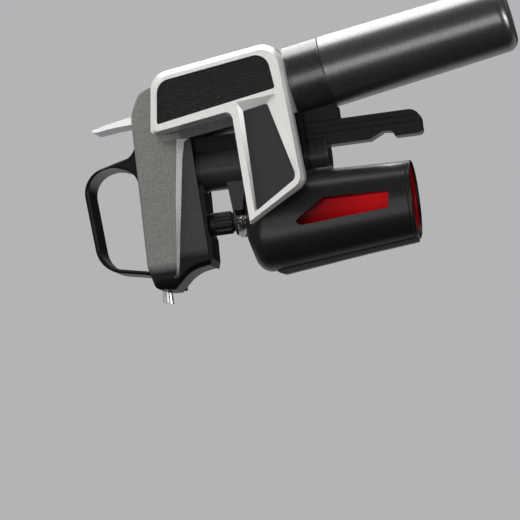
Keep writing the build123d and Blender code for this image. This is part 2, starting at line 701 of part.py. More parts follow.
def core():
    """Housing of the regulator between the frames: it leans with the cup's axis."""
    end_plane = [cup_point(-collar_radius, collar_start), cup_point(13.5, collar_start)]
    corners = [(core_x, core_top), (core_x, column_under), core_knee, (end_plane[0][0], -24.0), end_plane[0],
               end_plane[1], (column_end - 0.9, core_top)]
    body = slab(corners, [0, 0, 2.0, 1.0, 0, 3.0, 0], -frame_inner, frame_inner)
    low = [(core_x - 6, core_shoulder), (core_x, core_shoulder), (core_x, column_under), core_knee,
           (core_x - 6, core_knee[1])]
    high = [(x + core_bevel if x >= core_x else x, z) for x, z in low]
    slope = taper(low, 0, frame_inner - core_bevel, high, 0, frame_inner)
    body -= slope + mirror(slope, about=Plane.XZ)
    bevel_end = core_x + core_bevel
    shoulder = slab([(core_x - 1, core_shoulder), (bevel_end, core_shoulder), (bevel_end, core_top + 1),
                     (core_x - 1, core_top + 1)], 0, column_half_width, frame_inner + 1)
    body -= shoulder + mirror(shoulder, about=Plane.XZ)
    body -= rod_on_cup_axis(regulator_radius, regulator_end, 0)
    body -= block(44.0, column_end - 1, 5.2, valve_height - 5.5, core_top + 1)
    room = gas_tube_radius + 0.7
    body -= slab(
        [(port_x - room, valve_height - room), (port_x + room, valve_height - room),
         (port_x + room, core_top + 1), (port_x - room, core_top + 1)], 0, 0, gas_tube_side + room)
    body -= cup_frame * disc(1.2, regulator_end - 14, regulator_end)
    for x, z in screw_spots():
        body -= cross_rod(screw_radius, x, z, frame_inner - screw_depth, frame_inner + 1)
        body -= cross_rod(screw_radius, x, z, -frame_inner - 1, screw_depth - frame_inner)
    return body - rail_core()


def cup_point(radius, s):
    """X and height of a point beside the cup's axis, on the mid-plane."""
    return (seam_x - axis_z * radius + axis_x * s, seam_z + axis_x * radius + axis_z * s)


frame_corners = [(37.6, 33.6), (62.4, 30.8), (69.7, -23.4), (9.2, -28.1), (-5.2, -3.5), (42.5, -1.1)]
frame_rounds = [1.5, 8.0, 8.0, 6.0, 0.8, 3.0]
panel_corners = [(42.2, -5.9), (44.1, -16.2), (11.2, -25.1), (0.6, -6.9)]
panel_rounds = [0.5, 1.2, 5.5, 0.5]
pad_corners = [(41.2, 30.2), (58.8, 28.2), (65.0, -18.3), (49.7, -20.4)]
pad_rounds = [0.8, 6.0, 6.0, 1.0]


def grip_frame():
    """Left silver frame: bevelled plate with a pad pocket and a window with sloping walls."""
    bevels = [frame_bevel, frame_bevel, frame_bevel_low, frame_bevel_low, frame_bevel_cut, frame_bevel_cut]
    face_corners = inset(frame_corners, bevels)
    face_rounds = [max(radius - frame_bevel_cut, 0.4) for radius in frame_rounds]
    bevel_start = frame_outer - frame_bevel
    body = slab(frame_corners, frame_rounds, frame_inner, bevel_start)
    body += taper(frame_corners, frame_rounds, bevel_start, face_corners, face_rounds, frame_outer)
    body -= disc(jaw_room, -60, 60, jaw_room_x)
    body -= slab(pad_corners, pad_rounds, pad_seat, frame_outer + 1)
    mouth = [(46.0, -3.9), (47.3, -20.6), (12.4, -26.0), (-0.2, -6.2)]
    body -= slab(panel_corners, panel_rounds, panel_seat, panel_face)
    body -= taper(panel_corners, panel_rounds, panel_face, mouth, panel_rounds, frame_outer)
    ledge = inset(panel_corners, [panel_ledge] * 4)
    body -= slab(ledge, [0.5, 0.8, 3.9, 0.5], frame_inner - 1, panel_seat)
    for x, z in screw_spots():
        body -= cross_rod(screw_radius, x, z, frame_inner - 1, frame_outer)
        body -= cross_rod(screw_head_radius, x, z, pad_seat - screw_head, frame_outer)
    return body


def screw_spots():
    """Places of the two screws of each frame, hidden under the pad."""
    return [(47.0, 22.0), (60.0, -8.0)]


def grips():
    """Frames, pads, panels and screws of both sides."""
    save_pair("grip_frame", grip_frame())
    pad = slab(pad_corners, pad_rounds, pad_seat, pad_face)
    save_pair("grip_pad", pad)
    save_pair("side_panel", slab(panel_corners, panel_rounds, panel_seat, panel_face))
    for name, (x, z) in zip(("upper", "lower"), screw_spots()):
        screw = cross_rod(screw_radius, x, z, frame_inner - screw_depth, pad_seat - screw_head)
        screw += cross_rod(screw_head_radius, x, z, pad_seat - screw_head, pad_seat)
        save_pair(f"frame_screw_{name}", screw)


def rail():
    """Track of the carriage, with a notch in its foot, side grooves and rounded ends."""
    bar = rail_core()
    body_end = rail_foot_x + rail_foot + rail_neck + rail_body
    side = slab(
        [(rail_foot_x, rail_bottom), (body_end, rail_bottom), (body_end, rail_top), (rail_foot_x, rail_top)],
        [2.0, 5.0, 1.0, 1.0], -10, 10)
    notch = [(20.0, -54.3), (rail_foot_x, -54.3), (29.0, -60.1), (28.6, -63.9), (rail_foot_x, -65.0),
             (20.0, -65.0)]
    bar = (bar & side) - slab(notch, [0, 0.8, 1.2, 1.2, 0.8, 0], -10, 10)
    groove_x = body_end - rail_body / 2 - 0.2
    groove = slab(
        [(groove_x - 0.35, rail_bottom + 1.7), (groove_x + 0.35, rail_bottom + 1.7), (groove_x + 0.35, 15.0),
         (groove_x - 0.35, 15.0)], 0.3, rail_body_half - rail_groove, rail_body_half + 1)
    return bar - groove - mirror(groove, about=Plane.XZ)


def rail_bracket(housing):
    """Black saddle that ties the rail to the collar, with a flange under the core."""
    rail_face = rail_foot_x + rail_foot + rail_neck + rail_body
    body = slab([(rail_face, -26.0), (43.0, -26.0), (43.6, -39.5), (42.4, -42.2), (rail_face, -42.5)],
                [0, 0, 0, 0.5, 0.8], -bracket_half_width, bracket_half_width)
    flange = slab([(27.4, -27.9), (27.4, -25.3), (39.9, -24.4), (39.9, -27.0), (38.6, -27.9)],
                  [0.5, 0.5, 0, 0, 0.5], -flange_half_width, flange_half_width)
    body += flange - disc(tower_radius + tower_collar + 0.4, -60, 0, tower_x)
    body -= rod_on_cup_axis(collar_radius, collar_start - 20, seam_gap)
    body -= rod_on_cup_axis(collar_radius + cup_clearance, 0, 20)
    return body - housing - rail_core()


# ---- Gas side ----

def gas_side():
    """Collar, regulator, capsule and cup, all turned about the cup's axis."""
    nose_end = capsule_tip - seal_gap - seal_thickness
    neck_bore = capsule_neck_radius + capsule_clearance
    mouth_bore = capsule_radius + 0.5
    collar = on_cup_axis(
        [(nose_radius, collar_start), (collar_radius, collar_start), (collar_radius, 0), (spigot_radius, 0),
         (spigot_radius, spigot_length), (mouth_bore, spigot_length), (mouth_bore, 0.5),
         (neck_bore + 1.5, -1.5), (neck_bore, -1.5), (neck_bore, nose_end), (nose_radius, nose_end)],
        [0, 0, 0.3, 0, 0.5, 0, 0, 0, 0, 0, 0])
    save("cup_collar", collar)
    body_floor = collar_start - regulator_floor
    body = on_cup_axis(
        [(pierce_radius, nose_end), (nose_radius, nose_end), (nose_radius, collar_start),
         (regulator_radius, collar_start), (regulator_radius, regulator_end + regulator_cap),
         (regulator_bore, regulator_end + regulator_cap), (regulator_bore, body_floor),
         (pierce_radius, body_floor)])
    save("regulator_body", body)
    pin = on_cup_axis(
        [(0, body_floor), (pierce_radius, body_floor), (pierce_radius, capsule_tip),
         (0.3, capsule_tip + pierce_depth), (0, capsule_tip + pierce_depth)])
    save("piercing_pin", pin)
    save("capsule_seal", ring_on_cup_axis(capsule_neck_radius - 0.4, pierce_radius + 0.3, nose_end,
                                          nose_end + seal_thickness))
    piston_start = body_floor - 1.0
    piston = rod_on_cup_axis(regulator_bore - piston_clearance, piston_start - piston_length, piston_start)
    save("regulator_piston", piston)
    spring_end = piston_start - piston_length
    spring_start = regulator_end + regulator_cap
    spring = cup_frame * Pos(0, 0, spring_start) * coil(regulator_bore - 1.0, spring_end - spring_start, 4)
    save("regulator_spring", spring)
    save("regulator_cap", ring_on_cup_axis(regulator_radius, 1.2, regulator_end, spring_start))
    capsule = on_cup_axis(
        [(0, capsule_tip), (capsule_neck_radius, capsule_tip), (capsule_neck_radius, 0), (capsule_radius, 7.0),
         (capsule_radius, capsule_end), (0, capsule_end)], [0, 0.4, 2.5, 7.0, capsule_radius - 0.2, 0])
    room = capsule_radius - capsule_wall
    room_end = capsule_end - capsule_wall
    capsule -= on_cup_axis(
        [(0, 3.0), (2.0, 3.0), (room, 9.0), (room, room_end), (0, room_end)], [0, 1.0, 5.0, room - 0.2, 0])
    capsule -= rod_on_cup_axis(pierce_radius + 0.2, capsule_tip - 1, 3.5)
    save("gas_capsule", capsule)
    skirt_bore = spigot_radius + cup_clearance
    inner = cup_end_radius - cup_wall
    cup_inside_end = cup_length - cup_bottom
    cup = on_cup_axis(
        [(skirt_bore, seam_gap), (collar_radius, seam_gap), (cup_end_radius, cup_length), (0, cup_length),
         (0, cup_inside_end), (inner, cup_inside_end), (inner, spigot_length + 1.0),
         (skirt_bore, spigot_length + 1.0)], [0, 0.3, cup_dome, 0, 0, 3.0, 0, 0])
    save("capsule_cup", cup)


def head():
    """Everything that rides up and down with the handle, except what moves on it."""
    column = column_shell()
    lane = gas_lane()
    save("column_shell_left", column - lane)
    save("column_shell_right", mirror(column, about=Plane.XZ))
    save("under_cover", cover())
    save("finger_loop", finger_loop())
    housing = core()
    save("head_core", housing)
    save("rail", rail())
    save("rail_bracket", rail_bracket(housing))


def gas_lane():
    """Channel in the left shell that the gas tube lies in."""
    room = gas_tube_radius + 0.1
    start = manifold_back + 4.0
    along = [(start, gas_tube_height - room), (port_x + room + 1, gas_tube_height - room),
             (port_x + room + 1, gas_tube_height + room), (start, gas_tube_height + room)]
    lane = slab(along, 0, gas_tube_side - room, gas_tube_side + room)
    drop = [(port_x - room - 1, core_top - 1), (port_x + room + 1, core_top - 1),
            (port_x + room + 1, gas_tube_height), (port_x - room - 1, gas_tube_height)]
    return lane + slab(drop, 0, gas_tube_side - room, gas_tube_side + room)


clamp()
jaws()
needle()
fluid_path()
head()
trigger_parts()
valve()
grips()
gas_side()
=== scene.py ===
# %% [markdown]
# # A wine preservation dispenser
# The object is a hand tool that clamps on a bottle's neck. A needle goes through the cork, gas from the
# capsule in the long cup pushes the wine up, and it runs out of the small steel spout.
# Its real shapes come from the CAD frame. These cells light it, give each finish its own material, and
# model the raised weave on the two grip pads.

# %% Load the frame
import math

import bpy
from mathutils import Matrix, Vector


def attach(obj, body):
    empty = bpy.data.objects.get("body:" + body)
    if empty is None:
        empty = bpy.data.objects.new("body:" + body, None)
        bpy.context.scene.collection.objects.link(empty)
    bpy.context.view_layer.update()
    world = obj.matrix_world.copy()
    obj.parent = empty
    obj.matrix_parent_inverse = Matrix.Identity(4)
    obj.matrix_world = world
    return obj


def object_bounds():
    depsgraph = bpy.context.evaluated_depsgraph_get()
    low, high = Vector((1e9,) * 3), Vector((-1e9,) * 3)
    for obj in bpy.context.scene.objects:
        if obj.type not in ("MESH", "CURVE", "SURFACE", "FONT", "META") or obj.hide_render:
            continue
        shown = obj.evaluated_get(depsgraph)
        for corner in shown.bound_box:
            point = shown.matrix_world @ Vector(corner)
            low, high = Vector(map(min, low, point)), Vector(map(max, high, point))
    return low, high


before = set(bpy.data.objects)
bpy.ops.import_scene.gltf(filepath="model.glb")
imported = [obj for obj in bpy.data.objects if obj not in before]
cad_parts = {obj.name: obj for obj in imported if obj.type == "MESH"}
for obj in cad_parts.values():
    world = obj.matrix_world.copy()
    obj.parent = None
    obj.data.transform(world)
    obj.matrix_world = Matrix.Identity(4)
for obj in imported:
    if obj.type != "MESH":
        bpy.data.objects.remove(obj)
cad_low, cad_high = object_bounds()
bpy.ops.object.select_all(action="DESELECT")
MM = 0.001
print("size in mm:", [round((high - low) / MM) for low, high in zip(cad_low, cad_high)])

# %% [markdown]
# ## Camera
# A long lens from almost a metre and a half away keeps the perspective flat, as in a catalogue picture. The
# tool is tipped on its side as when it pours, so the camera rolls until the cup (+X) is at the top of the
# picture. A constraint could aim the camera too, but a matrix of three directions gives the roll as well.

# %% Camera
SENSOR = 36.0
LENS = 240.9
SHIFT = (0.0192, -0.0771)
DISTANCE = 1.45
camera_data = bpy.data.cameras.new("catalogue_camera")
camera_data.sensor_width = SENSOR
camera_data.lens = LENS
camera_data.shift_x, camera_data.shift_y = SHIFT
camera = bpy.data.objects.new("catalogue_camera", camera_data)
bpy.context.scene.collection.objects.link(camera)
to_camera = Vector((-0.11456, -0.98248, -0.14703)).normalized()
picture_right = Vector((-0.11449, 0.16007, -0.98044))
picture_right = (picture_right - picture_right.dot(to_camera) * to_camera).normalized()
picture_up = to_camera.cross(picture_right)
aim = Vector((0.0, 0.0, 0.060))
turn = Matrix((picture_right, picture_up, to_camera)).transposed()
camera.matrix_world = Matrix.Translation(aim + to_camera * DISTANCE) @ turn.to_4x4()
bpy.context.scene.camera = camera
print("camera at", [round(value, 3) for value in camera.matrix_world.translation])

# %% [markdown]
# ## Building blocks for node trees
# The studio, the floor and every finish are wired from the same few nodes. They could be added one by one in
# the Shader Editor. A small function for each keeps the wiring short enough to read as a sentence.


# %% Node helpers
def calculate(tree, operation, *values):
    """Math node on plain numbers and other nodes' outputs."""
    node = tree.nodes.new("ShaderNodeMath")
    node.operation = operation
    for socket, value in zip(node.inputs, values):
        if isinstance(value, float):
            socket.default_value = value
        else:
            tree.links.new(value, socket)
    return node.outputs[0]


def ramp(tree, value, low, high, start=0.0, end=1.0, smooth=False):
    """Map a value from one range to another, in a straight line or with soft ends."""
    node = tree.nodes.new("ShaderNodeMapRange")
    if smooth:
        node.interpolation_type = "SMOOTHSTEP"
    node.inputs["From Min"].default_value = low
    node.inputs["From Max"].default_value = high
    node.inputs["To Min"].default_value = start
    node.inputs["To Max"].default_value = end
    tree.links.new(value, node.inputs["Value"])
    return node.outputs[0]


def blend_colours(tree, factor, first, second):
    """Mix two colours, each a tuple or a node's output."""
    node = tree.nodes.new("ShaderNodeMix")
    node.data_type = "RGBA"
    tree.links.new(factor, node.inputs["Factor"])
    for socket, colour in (("A", first), ("B", second)):
        if isinstance(colour, tuple):
            node.inputs[socket].default_value = (*colour, 1)
        else:
            tree.links.new(colour, node.inputs[socket])
    return node.outputs["Result"]


def choose_shader(tree, factor, first, second):
    """The first shader where the factor is zero, and the second where it is one."""
    node = tree.nodes.new("ShaderNodeMixShader")
    tree.links.new(factor, node.inputs["Fac"])
    tree.links.new(first, node.inputs[1])
    tree.links.new(second, node.inputs[2])
    return node.outputs[0]


# %% [markdown]
# ## Studio
# Black satin and painted metal are mostly made of what they mirror. A product photographer hangs a pale
# sheet behind the tool and leaves the room in front of it dark: the facing sides stay deep, and every edge
# that turns away picks up the pale sheet. A picture of a real studio could do this, but two greys and two
# directions are enough, and easier to change.
# The camera, and light through clear plastic, see one even grey. Mirrored rays see that grey only behind the
# tool, where their Y is large. Surfaces that turn to the left or right alone send rays whose X stays near
# `BAND_MIDDLE`. A dark band there keeps them deep, and only what turns up or down picks up the sheet. The
# rest of the room is dark. Rays that are neither seen nor mirrored meet a faint glow, which takes the deepest
# shade off surfaces that no lamp reaches.

# %% Backdrop
bpy.context.scene.view_settings.view_transform = "Standard"
BACKDROP = (0.455, 0.457, 0.470)
DARK_ROOM = (0.010, 0.010, 0.011)
GLOW = (0.95, 0.97, 1.0)
GLOW_STRENGTH = 0.06
SHEET_FADE = (0.40, 0.85)
BAND_MIDDLE = 0.12
BAND_FADE = (0.04, 0.32)
world = bpy.data.worlds.new("studio")
bpy.context.scene.world = world
world.use_nodes = True
studio = world.node_tree
studio.nodes.clear()
output = studio.nodes.new("ShaderNodeOutputWorld")
plain, glow, mirrored = [studio.nodes.new("ShaderNodeBackground") for layer in range(3)]
plain.inputs["Color"].default_value = (*BACKDROP, 1)
glow.inputs["Color"].default_value = (*GLOW, 1)
glow.inputs["Strength"].default_value = GLOW_STRENGTH
direction = studio.nodes.new("ShaderNodeTexCoord")
parts = studio.nodes.new("ShaderNodeSeparateXYZ")
studio.links.new(direction.outputs["Generated"], parts.inputs[0])
behind = ramp(studio, parts.outputs["Y"], *SHEET_FADE, smooth=True)
from_band = calculate(studio, "ABSOLUTE", calculate(studio, "SUBTRACT", parts.outputs["X"], BAND_MIDDLE))
off_band = ramp(studio, from_band, *BAND_FADE, smooth=True)
on_sheet = calculate(studio, "MULTIPLY", behind, off_band)
studio.links.new(blend_colours(studio, on_sheet, DARK_ROOM, BACKDROP), mirrored.inputs["Color"])
path = studio.nodes.new("ShaderNodeLightPath")
seen = calculate(studio, "MAXIMUM", path.outputs["Is Camera Ray"], path.outputs["Is Transmission Ray"])
reflected = choose_shader(studio, path.outputs["Is Glossy Ray"], glow.outputs[0], mirrored.outputs[0])
studio.links.new(choose_shader(studio, seen, reflected, plain.outputs[0]), output.inputs["Surface"])
print("backdrop", BACKDROP)


# %% [markdown]
# ## Lamps
# Five soft boxes stand round the tool. The overhead one and the front strip are mirrored in it: the first
# turns the upper bevels and the top of the cup white, the second draws the long band along the cup. Two
# more, from the front and from the left, only light the painted faces: their mirror images are switched off,
# because they would draw a second band on the cup. A small one on the clamp's side picks out the column's
# sloping strip. A single large light would be simpler, but it can't be placed for each of these alone.

# %% Soft boxes
LAMP_TARGET = Vector((0.03, 0, 0.05))


def soft_box(name, place, size, power, mirrored=True):
    """Rectangular lamp at a place, turned to the middle of the object, and mirrored in gloss or not."""
    data = bpy.data.lights.new(name, "AREA")
    data.shape = "RECTANGLE"
    data.size, data.size_y = size
    data.energy = power
    lamp = bpy.data.objects.new(name, data)
    bpy.context.scene.collection.objects.link(lamp)
    away = Vector(place) - LAMP_TARGET
    lamp.matrix_world = Matrix.Translation(place) @ away.to_track_quat("Z", "Y").to_matrix().to_4x4()
    lamp.visible_glossy = mirrored
    return lamp


soft_box("overhead", (0.80, 0.26, 0.05), (0.9, 1.0), 12)
soft_box("overhead_front", (0.65, -1.25, 0.55), (0.7, 0.9), 15.5, mirrored=False)
soft_box("left", (0.15, -0.45, 1.10), (0.5, 0.4), 9, mirrored=False)
soft_box("front_strip", (-0.12, -1.50, -0.10), (0.62, 1.1), 3.0)
soft_box("clamp_strip", (0.12, -0.30, -0.90), (0.22, 0.5), 2.6)
print("soft boxes:", len(bpy.data.lights))

# %% [markdown]
# The black barrel of the jaws shows two long soft bands. A greyer black would lift the whole barrel, and a
# stronger lamp would burn the silver, so two boxes of their own are linked to the jaws alone. One stands
# below and one behind the cup. They cast no shadow, so that the head, which is in their way, doesn't matter.

# %% Sheen of the jaws
only_jaws = bpy.data.collections.new("only_jaws")
for name in ("jaw_left", "jaw_right"):
    only_jaws.objects.link(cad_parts[name])
SHEEN_SIZE = (0.36, 0.7)
for name, place, power in (("sheen_low", (-0.48, -0.85, 0.20), 1.9), ("sheen_high", (0.74, 0.54, 0.12), 3.2)):
    sheen = soft_box(name, place, SHEEN_SIZE, power)
    sheen.data.use_shadow = False
    sheen.light_linking.receiver_collection = only_jaws
print("with the jaws' sheen:", len(bpy.data.lights))

# %% [markdown]
# ## Floor
# The tool hangs on a bottle's neck, well clear of the table, so a pale table top lies lower than the cup ever
# comes. The main picture ends before it. An ordinary floor would hide the tool in views from below, be
# mirrored in every black part and stand in front of the lamp on the clamp's side. So the top is shown to
# camera rays from above alone, where it also catches the tool's shadow. Everything else goes through it.

# %% Floor
FLOOR = cad_low[2] - 0.12
FLOOR_WIDTH = 12.0
bpy.ops.mesh.primitive_plane_add(size=FLOOR_WIDTH, location=(0, 0, FLOOR))
floor = bpy.context.object
floor.name = "pale_floor"
table_top = bpy.data.materials.new("pale_floor")
table_top.use_nodes = True
tree = table_top.node_tree
pale = tree.nodes["Principled BSDF"]
pale.inputs["Base Color"].default_value = (0.62, 0.62, 0.63, 1)
pale.inputs["Roughness"].default_value = 0.7
see_through = tree.nodes.new("ShaderNodeBsdfTransparent")
side = tree.nodes.new("ShaderNodeNewGeometry")
ray = tree.nodes.new("ShaderNodeLightPath")
from_above = calculate(tree, "SUBTRACT", 1.0, side.outputs["Backfacing"])
shown = calculate(tree, "MULTIPLY", from_above, ray.outputs["Is Camera Ray"])
surface = choose_shader(tree, shown, see_through.outputs[0], pale.outputs[0])
tree.links.new(surface, tree.nodes["Material Output"].inputs["Surface"])
floor.data.materials.append(table_top)
bpy.ops.object.select_all(action="DESELECT")
print("floor at", round(FLOOR, 4))

# %% [markdown]
# ## Finishes
# Every finish is a Principled shader whose grain is noise on Object coordinates. These are in metres, so a
# grain of half a millimetre is a scale of 2000. A picture of a grain would need an unwrapped surface, has
# seams and blurs when seen close. Noise has no seams and is as fine on a screw as on a shell.
# A `speckled` finish is a dark and a light colour in tiny spots, which also vary a little in gloss and height.

# %% Helpers for finishes
SPOT_CONTRAST = 0.12        # half the share of the noise that goes from dark to light
GLOSS_BAND = (0.3, 0.7)     # share of the noise over which the gloss changes
GLOSS_SPREAD = 0.04         # how much rougher and smoother the spots are than the finish
GRAIN_DEPTH = 0.04          # mm


def new_finish(name, roughness, metallic=0.0, specular=0.5):
    """Material with its plain numbers on the shader's own sockets."""
    material = bpy.data.materials.new(name)
    material.use_nodes = True
    shader = material.node_tree.nodes["Principled BSDF"]
    shader.inputs["Roughness"].default_value = roughness
    shader.inputs["Metallic"].default_value = metallic
    shader.inputs["Specular IOR Level"].default_value = specular
    return material, material.node_tree, shader


def grain(tree, size_mm, detail=2.0):
    """Noise with a grain of the given size."""
    place = tree.nodes.new("ShaderNodeTexCoord")
    noise = tree.nodes.new("ShaderNodeTexNoise")
    noise.inputs["Scale"].default_value = 1 / (size_mm * MM)
    noise.inputs["Detail"].default_value = detail
    tree.links.new(place.outputs["Object"], noise.inputs["Vector"])
    return noise.outputs["Fac"]


def relief(tree, height, strength, shader):
    """Bump the surface by a height pattern."""
    bump = tree.nodes.new("ShaderNodeBump")
    bump.inputs["Strength"].default_value = strength
    bump.inputs["Distance"].default_value = GRAIN_DEPTH * MM
    tree.links.new(height, bump.inputs["Height"])
    tree.links.new(bump.outputs[0], shader.inputs["Normal"])


def speckled(name, dark, light, size_mm, roughness, metallic=0.0, specular=0.5, bump=0.15):
    """Finish whose tone and gloss vary with a fine grain."""
    material, tree, shader = new_finish(name, roughness, metallic, specular)
    fine = grain(tree, size_mm)
    spots = ramp(tree, fine, 0.5 - SPOT_CONTRAST, 0.5 + SPOT_CONTRAST)
    gloss = ramp(tree, fine, *GLOSS_BAND, roughness - GLOSS_SPREAD, roughness + GLOSS_SPREAD)
    tree.links.new(blend_colours(tree, spots, dark, light), shader.inputs["Base Color"])
    tree.links.new(gloss, shader.inputs["Roughness"])
    relief(tree, fine, bump, shader)
    return material


def paint(material, *names):
    """Give the named CAD nodes a material."""
    for name in names:
        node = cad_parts[name]
        node.data.materials.clear()
        node.data.materials.append(material)


# %% [markdown]
# ### Silver
# The grip frames and the trigger are castings with a satin lacquer full of metal flakes. Pure metal would go
# dark on every side that no lamp is mirrored in, and plain grey paint would lack the shine on the bevels.
# The finish is a share of each. The trigger is a little whiter and more of it is paint.

# %% Silver
silver = speckled("satin_silver", (0.74, 0.735, 0.715), (0.84, 0.835, 0.815), size_mm=0.35, roughness=0.40,
                  metallic=0.45, bump=0.08)
trigger_silver = speckled("trigger_silver", (0.88, 0.88, 0.86), (0.96, 0.96, 0.94), size_mm=0.35,
                          roughness=0.36, metallic=0.35, bump=0.06)
paint(silver, "grip_frame_left", "grip_frame_right")
paint(trigger_silver, "trigger")
print("silver on the frames and the trigger")

# %% [markdown]
# ### Graphite
# The column's shells and the core wear several tones: a graphite lacquer on the raised faces, black flanks
# under them, and a painted highlight on the strip where the lower edge of the raised face slopes back.
# Towards the spout's end they all fade to black, a painted shade where the shell's end rounds away from the
# lamps. Faces could be picked and given slots of their own, but the tones follow the shape: the distance from
# the middle tells face, strip and flank apart, the height ends the painted highlight, and the place along X
# gives the painted shade.

# %% Distances and steps
EDGE_BLUR = 0.04            # mm on either side of an edge between two tones


def measured(tree, axis, signed=False):
    """Distance from the origin along one axis of the object, or the signed place on it."""
    place = tree.nodes.new("ShaderNodeTexCoord")
    split = tree.nodes.new("ShaderNodeSeparateXYZ")
    tree.links.new(place.outputs["Object"], split.inputs[0])
    return split.outputs[axis] if signed else calculate(tree, "ABSOLUTE", split.outputs[axis])


def step(tree, value, edge_mm, rising=True):
    """One beyond an edge and nothing before it, or the other way round."""
    low, high = (edge_mm - EDGE_BLUR) * MM, (edge_mm + EDGE_BLUR) * MM
    return ramp(tree, value, low, high) if rising else ramp(tree, value, low, high, 1.0, 0.0)


# %% Graphite
FLANK_EDGE = 10.75          # mm from the middle, where the flank ends and the strip starts
FACE_EDGE = 12.42           # where the strip ends and the raised face starts
CORE_EDGE = 12.46           # the core's face starts a little further out
# height at which the strip's painted highlight ends
STRIP_HIGHLIGHT_TOP = 92.4            # mm, the height at which the strip ends
# painted shade towards the spout's end, along X, for the raised face and the body
FACE_PAINTED_SHADE = (-18.8, -14.4)  # mm along X: black at the first, full tone at the second
BODY_PAINTED_SHADE = (-13.6, -10.4)
# where the strip's painted highlight fades out along X
STRIP_HIGHLIGHT_FADE = (-21.5, -16.0)
BODY = ((0.030, 0.031, 0.031), (0.050, 0.051, 0.051))
FACE = ((0.115, 0.115, 0.110), (0.220, 0.220, 0.210))
# painted highlight: the sloping strip is the same graphite, painted near white
STRIP_HIGHLIGHT = ((0.74, 0.74, 0.72), (0.98, 0.98, 0.95))
# painted light: the core's face is the column's graphite, painted lighter because the grip frames shade it
CORE_FACE_PAINTED_LIGHT = ((0.17, 0.17, 0.165), (0.34, 0.34, 0.33))
# the black that the painted shade ends in
SHADE_BLACK = (0.006, 0.006, 0.006)
LACQUER_GRAIN = 0.40        # mm
LACQUER_CONTRAST = 0.14
LACQUER_BUMP = 0.22


def graphite_finish(name, inner_edge, face_colours):
    """Black body, painted highlight on the sloping edge and graphite face, from the inside out, with painted
    shade at the end.
    """
    material, tree, shader = new_finish(name, roughness=0.42, metallic=0.25, specular=0.35)
    away = measured(tree, "Y")
    height = measured(tree, "Z")
    along = measured(tree, "X", signed=True)
    # painted shade: how much of each tone is kept along X, none at the spout's end
    face_unshaded, body_unshaded, highlight_kept = [
        ramp(tree, along, low * MM, high * MM) for low, high in (FACE_PAINTED_SHADE, BODY_PAINTED_SHADE, STRIP_HIGHLIGHT_FADE)]
    outer = step(tree, away, inner_edge)
    # where the strip's painted highlight goes: beyond the flank, inside the face, below its top, and faded
    # along X
    strip_highlight = outer
    for limit in (step(tree, away, FACE_EDGE, rising=False), step(tree, height, STRIP_HIGHLIGHT_TOP, rising=False),
                  highlight_kept):
        strip_highlight = calculate(tree, "MULTIPLY", strip_highlight, limit)
    fine = grain(tree, LACQUER_GRAIN, detail=3.0)
    spots = ramp(tree, fine, 0.5 - LACQUER_CONTRAST, 0.5 + LACQUER_CONTRAST)
    # the last of the three is the strip's painted highlight
    body, face, light = [blend_colours(tree, spots, *pair) for pair in (BODY, face_colours, STRIP_HIGHLIGHT)]
    # the painted shade darkens body and face to black at the spout's end
    body = blend_colours(tree, body_unshaded, SHADE_BLACK, body)
    face = blend_colours(tree, face_unshaded, SHADE_BLACK, face)
    two_tone = blend_colours(tree, outer, body, face)
    tree.links.new(blend_colours(tree, strip_highlight, two_tone, light), shader.inputs["Base Color"])
    relief(tree, fine, LACQUER_BUMP, shader)
    return material


paint(graphite_finish("graphite_column", FLANK_EDGE, FACE), "column_shell_left", "column_shell_right")
# the core's face carries painted light against the frames' shade
paint(graphite_finish("graphite_core", CORE_EDGE, CORE_FACE_PAINTED_LIGHT), "head_core")
print("graphite beyond", FLANK_EDGE, "mm, strip below", STRIP_HIGHLIGHT_TOP, "mm")

# %% [markdown]
# ### Black
# The moulded parts are black nylon with a soft sheen. One black for all would join them into one dark mass,
# so there are four, close to each other: the finger loop is the deepest, a painted shade so that only its
# edges show light, the jaws are a little greyer, and the tower between the frames is the palest, a painted
# light against the shade that the frames cast on it.

# %% Black
black_satin = speckled("black_satin", (0.005, 0.005, 0.005), (0.009, 0.009, 0.009), size_mm=0.5,
                       roughness=0.32, specular=0.22, bump=0.08)
# painted shade: the loop is darker than the other black parts, so only its edges show light
loop_black = speckled("loop_black", (0.004, 0.004, 0.004), (0.007, 0.007, 0.007), size_mm=0.5, roughness=0.30,
                      specular=0.20, bump=0.06)
jaw_satin = speckled("jaw_satin", (0.007, 0.007, 0.008), (0.012, 0.012, 0.012), size_mm=0.4, roughness=0.31,
                     specular=0.35, bump=0.10)
# painted light: the tower is lighter than the other black parts, against the frames' shade
tower_black_painted_light = speckled("tower_black_painted_light", (0.018, 0.018, 0.018), (0.026, 0.026, 0.026), size_mm=0.5,
                       roughness=0.30, specular=0.32, bump=0.04)
paint(black_satin, "under_cover", "rail", "rail_bracket", "gas_tube", "capsule_seal", "manifold",
      "needle_socket")
paint(loop_black, "finger_loop")
paint(tower_black_painted_light, "carriage", "needle_hub", "needle_guide_foot")
paint(jaw_satin, "jaw_left", "jaw_right")
print("black on the mouldings")

# %% [markdown]
# ### Red
# The liners are red plastic, seen deep in the jaws' windows: dark at the crown's end, in the shade of the
# head, and lighter towards the clamp's mouth. The lamps alone make less of this than the deep window does on
# the real tool, so the colour carries painted shade, from dark to light along the height. It mirrors very
# little.

# %% Red
DARK_END = 44               # mm, the height of the liner's dark end
LIGHT_END = 8
red, tree, shader = new_finish("liner_red", roughness=0.34, specular=0.07)
# painted shade: the red runs from dark at the crown's end to light at the mouth
painted_shade_ramp = ramp(tree, measured(tree, "Z"), DARK_END * MM, LIGHT_END * MM)
tree.links.new(blend_colours(tree, painted_shade_ramp, (0.03, 0.0002, 0.0008), (0.36, 0.0018, 0.0035)),
               shader.inputs["Base Color"])
paint(red, "jaw_liner_left", "jaw_liner_right")
print("red on the liners")

